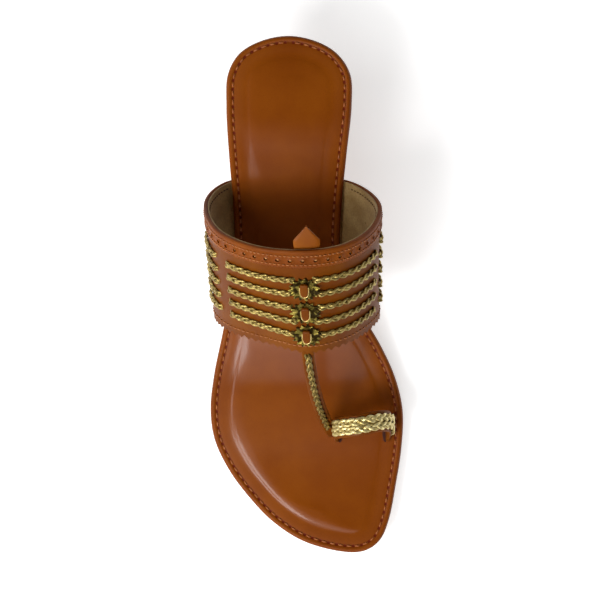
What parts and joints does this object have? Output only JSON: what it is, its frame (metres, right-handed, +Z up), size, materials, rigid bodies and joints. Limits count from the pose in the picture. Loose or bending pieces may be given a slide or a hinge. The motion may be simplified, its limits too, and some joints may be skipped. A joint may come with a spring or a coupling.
{
  "type": "heeled sandal",
  "caption": "Backless sandal on a covered block heel: a wide instep band with rows of gold plaited cord and rosettes, a toe strap and a toe ring over a padded insole.",
  "frame": {"origin": "on the floor, in the middle of the flat under the ball of the foot", "axes": "+Z up, +Y from the toe towards the heel, +X towards the inner (big toe) side of a right foot"},
  "size_m": [0.0905, 0.236, 0.0985],
  "materials": {
    "tan_leather": "satin tan leather",
    "insole_leather": "polished tan leather over padding",
    "gold_cord": "plaited gold-foiled strip",
    "gold_foil": "gold-foiled leather, punched",
    "sole_resin": "matt moulded sheet",
    "lift_rubber": "matt ribbed rubber"
  },
  "bodies": {
    "root": {"outsole": "sole_resin", "insole": "insole_leather", "heel_block": "tan_leather", "heel_lift": "lift_rubber", "upper": "tan_leather", "cord_outer_side_1": "gold_cord", "cord_outer_top_1": "gold_cord", "cord_inner_top_1": "gold_cord", "cord_inner_side_1": "gold_cord", "cord_outer_side_2": "gold_cord", "cord_outer_top_2": "gold_cord", "cord_inner_top_2": "gold_cord", "cord_inner_side_2": "gold_cord", "cord_outer_side_3": "gold_cord", "cord_outer_top_3": "gold_cord", "cord_inner_top_3": "gold_cord", "cord_inner_side_3": "gold_cord", "cord_outer_side_4": "gold_cord", "cord_outer_top_4": "gold_cord", "cord_inner_top_4": "gold_cord", "cord_inner_side_4": "gold_cord", "cord_outer_side_5": "gold_cord", "cord_outer_top_5": "gold_cord", "cord_inner_top_5": "gold_cord", "cord_inner_side_5": "gold_cord", "cord_strap": "gold_cord", "cord_ring_front": "gold_cord", "cord_ring_back": "gold_cord", "rosette_1": "gold_foil", "rosette_2": "gold_foil", "rosette_3": "gold_foil", "keeper_1": "tan_leather", "keeper_2": "tan_leather", "keeper_3": "tan_leather"}
  },
  "joints": []
}
